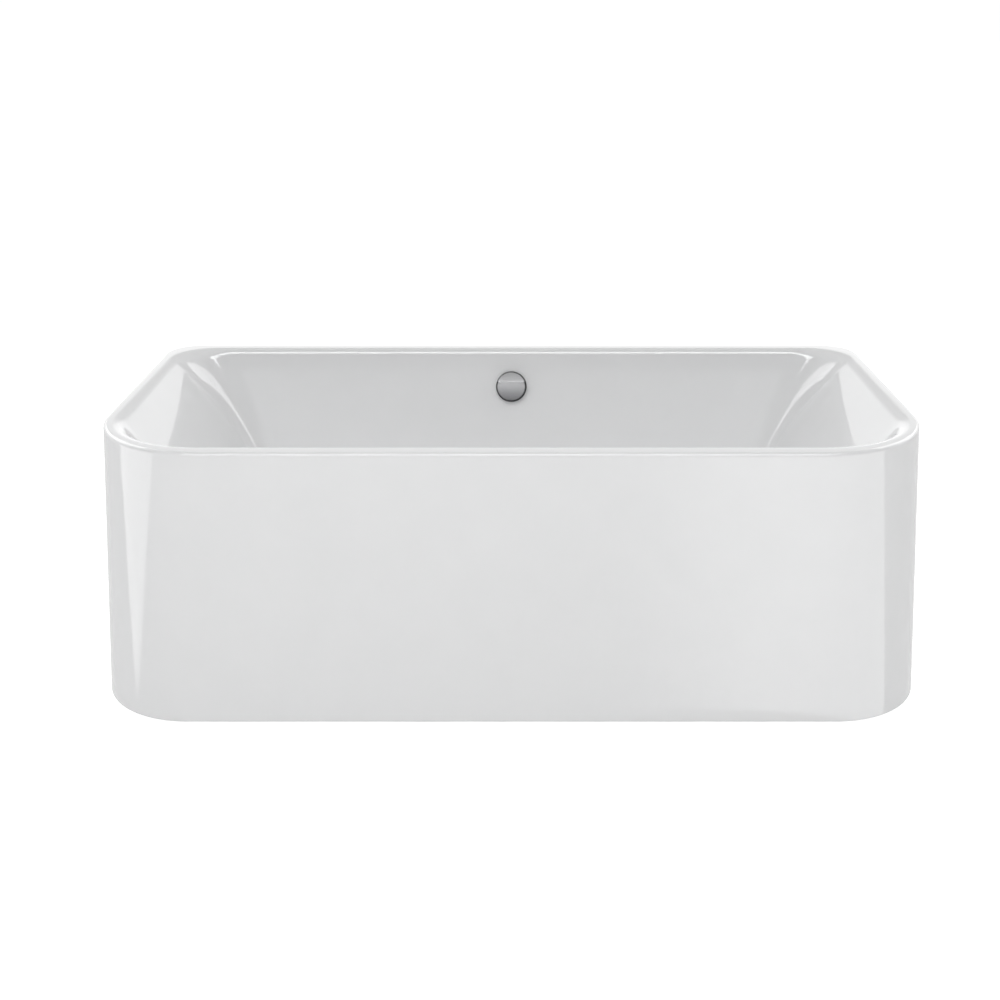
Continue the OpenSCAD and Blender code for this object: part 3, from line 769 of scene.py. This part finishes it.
KEPT = {
    "base_board": (CHIPBOARD, 0.0008),
    "rim_batten_front": (WOOD_X, 0.0010),
    "rim_batten_back": (WOOD_X, 0.0010),
    "rim_batten_left": (WOOD_Y, 0.0010),
    "rim_batten_right": (WOOD_Y, 0.0010),
    "long_rail_front": (POWDER, 0.0012),
    "long_rail_back": (POWDER, 0.0012),
    "cross_rail_left": (POWDER, 0.0012),
    "cross_rail_right": (POWDER, 0.0012),
    "drain_flange": (CHROME, 0.0005),
    "drain_gasket": (RUBBER, 0.0004),
    "drain_body": (PLASTIC, 0.0006),
    "drain_gland": (NYLON, 0.0005),
    "plug_stem": (STEEL, 0.0004),
    "overflow_ring": (CHROME, 0.0005),
    "overflow_gasket": (RUBBER, 0.0004),
    "overflow_body": (PLASTIC, 0.0006),
    "overflow_gland": (NYLON, 0.0004),
    "knob_spindle": (STEEL, 0.0004),
    "cable_wheel": (PLASTIC, 0.0004),
    "overflow_pipe": (PLASTIC, 0.0004),
    "trap_bend": (PLASTIC, 0.0004),
    "outlet_bend": (PLASTIC, 0.0004),
}
for index in range(1, 5):
    KEPT[f"skirt_bracket_{index}"] = (ZINC, 0.0005)


def dress(node, material, edge):
    """Gives a CAD node its material and breaks its sharp edges."""
    piece = frame["nodes"][node]
    piece.data.materials.clear()
    piece.data.materials.append(material)
    weld = piece.modifiers.new("weld", "WELD")
    weld.merge_threshold = 0.00001
    soften = piece.modifiers.new("edges", "BEVEL")
    soften.width = edge
    soften.segments = 2
    soften.limit_method = "ANGLE"
    soften.angle_limit = math.radians(50)
    soften.harden_normals = True


for node, (material, edge) in KEPT.items():
    dress(node, material, edge)

# ---------------------------------------------------------------- stage, light and camera

FLOOR_REACH = 40.0
FLOOR_WHITE = 0.75  # the floor's own light, as the camera sees it
FLOOR_LIGHT = 0.12  # and as it falls on the bath
SEEN_WHITE = 1.02  # the background, as the camera sees it

# The room that lights the bath and is mirrored in it: strengths, and where along the direction they change.
BACKDROP_LEFT = 1.35
BACKDROP_RIGHT = 1.4
BACKDROP_TOP = 0.3
ROOM_LIGHT = 0.25
CEILING_LIGHT = 0.42
FLOOR_GLOW = 0.85
ACROSS_FADE = (-0.3, 0.3)
BEHIND_FADE = (-0.35, 0.25)
BACKDROP_TOP_FADE = (0.24, 0.36)
CEILING_FADE = (0.25, 0.8)
HORIZON_FADE = (-0.02, 0.01)

KEY_GLOW = 4.7
KEY_AT, KEY_TO, KEY_SIZE = (-0.3, -3.6, 2.9), (0, 0, 0.4), (2.2, 1.7)
STRIP_GLOW = 3.0
STRIP_AT, STRIP_TO, STRIP_SIZE = (2.8, 1.7, 2.4), (-0.8, 0.35, 0.5), (3.2, 1.8)
TOP_GLOW = 7.0
TOP_AT, TOP_TO, TOP_SIZE = (0, -2.6, 4.0), (0, 0.4, 0.6), (5.5, 1.8)

CARD_X = 3.8  # how far out the reflectors stand
WEDGE_GLOW = 1.65
WEDGE_FADE = 0.2
WEDGE_FOOT_Z = -1.42
WEDGE_CORNERS = [(0.76, 0.0), (-2.41, 0.0), (-0.97, WEDGE_FOOT_Z)]
SIDE_GLOW = 1.5
SIDE_FOOT_Z = -4.0
SIDE_BEND = [(CARD_X, -1.025), (CARD_X, -3.4), (3.3, -5.2), (2.2, -6.6), (0.6, -7.4)]
SIDE_FADE_X = (0.6, 2.0)

CAMERA_AT = (0, -3.2025, 1.5317)
CAMERA_DOWN = 11.287  # degrees below level
CAMERA_LENS, CAMERA_SENSOR = 50.8, 36.0
CAMERA_SHIFT = (-0.0114, -0.23)


def make_floor():
    """A plain white floor, wide enough to reach the horizon, that isn't seen in reflections."""
    n = 96
    points = []
    for i in range(n):
        a = 2 * math.pi * i / n
        points.append((FLOOR_REACH * math.cos(a), FLOOR_REACH * math.sin(a), 0))
    material, nodes, links, bsdf = new_material("pale_floor")
    bsdf.inputs["Base Color"].default_value = (0.9, 0.9, 0.9, 1)
    bsdf.inputs["Roughness"].default_value = 0.9
    bsdf.inputs["Emission Color"].default_value = (1, 1, 1, 1)
    seen = nodes.new("ShaderNodeLightPath")
    glow = span(nodes, links, seen.outputs["Is Camera Ray"], FLOOR_LIGHT, FLOOR_WHITE)
    links.new(glow, bsdf.inputs["Emission Strength"])
    floor = add_mesh("floor", points, [tuple(range(n))], material)
    floor.visible_glossy = False


def make_world():
    """Studio surroundings: a backdrop behind the bath that is bright up to a set height, a dim room in front,
    a slightly brighter ceiling and a plain glow below the horizon. The camera itself sees plain white."""
    world = bpy.data.worlds.new("studio")
    world.use_nodes = True
    bpy.context.scene.world = world
    nodes, links = world.node_tree.nodes, world.node_tree.links
    room = nodes["Background"]
    room.inputs["Color"].default_value = (1, 1, 1, 1)
    coords = nodes.new("ShaderNodeTexCoord")
    split = nodes.new("ShaderNodeSeparateXYZ")
    links.new(coords.outputs["Generated"], split.inputs["Vector"])

    def fade(axis, between, low, high):
        """A smooth step in strength from low to high along one axis of the direction."""
        node = nodes.new("ShaderNodeMapRange")
        node.interpolation_type = "SMOOTHSTEP"
        node.inputs["From Min"].default_value, node.inputs["From Max"].default_value = between
        node.inputs["To Min"].default_value = low
        node.inputs["To Max"].default_value = high
        links.new(split.outputs[axis], node.inputs["Value"])
        return node.outputs["Result"]

    def combine(operation, a, b):
        node = nodes.new("ShaderNodeMath")
        node.operation = operation
        links.new(a, node.inputs[0])
        links.new(b, node.inputs[1])
        return node.outputs["Value"]

    across = fade("X", ACROSS_FADE, BACKDROP_LEFT, BACKDROP_RIGHT)
    behind = combine("MULTIPLY", fade("Y", BEHIND_FADE, 0.0, 1.0), across)
    backdrop = combine("MULTIPLY", behind, fade("Z", BACKDROP_TOP_FADE, 1.0, BACKDROP_TOP))
    upper = combine("ADD", backdrop, fade("Z", CEILING_FADE, ROOM_LIGHT, CEILING_LIGHT))
    above = combine("MULTIPLY", upper, fade("Z", HORIZON_FADE, 0.0, 1.0))
    below = fade("Z", HORIZON_FADE, FLOOR_GLOW, 0.0)
    links.new(combine("ADD", above, below), room.inputs["Strength"])
    plain = nodes.new("ShaderNodeBackground")
    plain.inputs["Color"].default_value = (1, 1, 1, 1)
    plain.inputs["Strength"].default_value = SEEN_WHITE
    seen = nodes.new("ShaderNodeLightPath")
    mix = nodes.new("ShaderNodeMixShader")
    links.new(seen.outputs["Is Camera Ray"], mix.inputs["Fac"])
    links.new(room.outputs["Background"], mix.inputs[1])
    links.new(plain.outputs["Background"], mix.inputs[2])
    links.new(mix.outputs["Shader"], nodes["World Output"].inputs["Surface"])


def add_softbox(name, at, look_at, size, glow):
    """A rectangular soft light of this radiance."""
    light = bpy.data.lights.new(name, "AREA")
    light.shape = "RECTANGLE"
    light.size, light.size_y = size
    light.energy = glow * math.pi * size[0] * size[1]
    made = bpy.data.objects.new(name, light)
    made.location = at
    made.rotation_euler = (Vector(look_at) - Vector(at)).to_track_quat("-Z", "Y").to_euler()
    bpy.context.scene.collection.objects.link(made)
    return made


def add_card(name, points, faces, glow, edge, fade_from, fade_to):
    """A reflector seen only in reflections. It is dark at fade_from and has its full glow after the share
    edge of the way to fade_to."""
    material = bpy.data.materials.new(name)
    material.use_nodes = True
    nodes, links = material.node_tree.nodes, material.node_tree.links
    nodes.clear()
    coords = nodes.new("ShaderNodeTexCoord")
    along = nodes.new("ShaderNodeVectorMath")
    along.operation = "DOT_PRODUCT"
    axis = Vector(fade_to) - Vector(fade_from)
    along.inputs[1].default_value = axis / axis.length_squared
    level = nodes.new("ShaderNodeMapRange")
    level.interpolation_type = "SMOOTHSTEP"
    start = Vector(fade_from).dot(axis) / axis.length_squared
    level.inputs["From Min"].default_value = start
    level.inputs["From Max"].default_value = start + edge
    level.inputs["To Min"].default_value = 0.0
    level.inputs["To Max"].default_value = glow
    glowing = nodes.new("ShaderNodeEmission")
    output = nodes.new("ShaderNodeOutputMaterial")
    links.new(coords.outputs["Object"], along.inputs[0])
    links.new(along.outputs["Value"], level.inputs["Value"])
    links.new(level.outputs["Result"], glowing.inputs["Strength"])
    clear = nodes.new("ShaderNodeBsdfTransparent")
    both = nodes.new("ShaderNodeAddShader")
    links.new(glowing.outputs["Emission"], both.inputs[0])
    links.new(clear.outputs["BSDF"], both.inputs[1])
    links.new(both.outputs["Shader"], output.inputs["Surface"])
    card = add_mesh(name, points, faces, material)
    card.visible_camera = False
    card.visible_diffuse = False
    card.visible_shadow = False
    return card


def add_cards():
    """The two reflectors whose images run down the skirt's front corners. They stand below the floor's level,
    which doesn't hide them, because the floor isn't seen in reflections."""
    wedge = [(-CARD_X, y, z) for y, z in WEDGE_CORNERS]
    foot, head = (-CARD_X, 0, WEDGE_FOOT_Z), (-CARD_X, 0, 0.0)
    add_card("wedge_card", wedge, [(0, 1, 2)], WEDGE_GLOW, WEDGE_FADE, foot, head)
    points = [(x, y, z) for z in (SIDE_FOOT_Z, 0.0) for x, y in SIDE_BEND]
    n = len(SIDE_BEND)
    faces = [(i, i + 1, n + i + 1, n + i) for i in range(n - 1)]
    add_card("side_card", points, faces, SIDE_GLOW, 1.0, (SIDE_FADE_X[0], 0, 0), (SIDE_FADE_X[1], 0, 0))


def make_camera():
    """The camera of the front view: raised and looking slightly down, with its lens shifted."""
    camera = bpy.data.cameras.new("camera")
    camera.sensor_width, camera.lens = CAMERA_SENSOR, CAMERA_LENS
    camera.shift_x, camera.shift_y = CAMERA_SHIFT
    made = bpy.data.objects.new("camera", camera)
    made.location = CAMERA_AT
    made.rotation_euler = (math.radians(90 - CAMERA_DOWN), 0, 0)
    bpy.context.scene.collection.objects.link(made)
    bpy.context.scene.camera = made


def add_lights():
    """A key light that isn't seen in reflections, and three lights that are seen only in reflections."""
    key = add_softbox("key", KEY_AT, KEY_TO, KEY_SIZE, KEY_GLOW)
    key.visible_glossy = False
    for side in (-1, 1):
        at, to = ((side * x, y, z) for x, y, z in (STRIP_AT, STRIP_TO))
        strip = add_softbox(f"strip_{side + 2}", at, to, STRIP_SIZE, STRIP_GLOW)
        strip.visible_diffuse = strip.visible_camera = False
    top = add_softbox("top", TOP_AT, TOP_TO, TOP_SIZE, TOP_GLOW)
    top.visible_diffuse = top.visible_camera = False


make_floor()
make_world()
add_lights()
add_cards()
make_camera()
bpy.context.scene.view_settings.view_transform = "Standard"
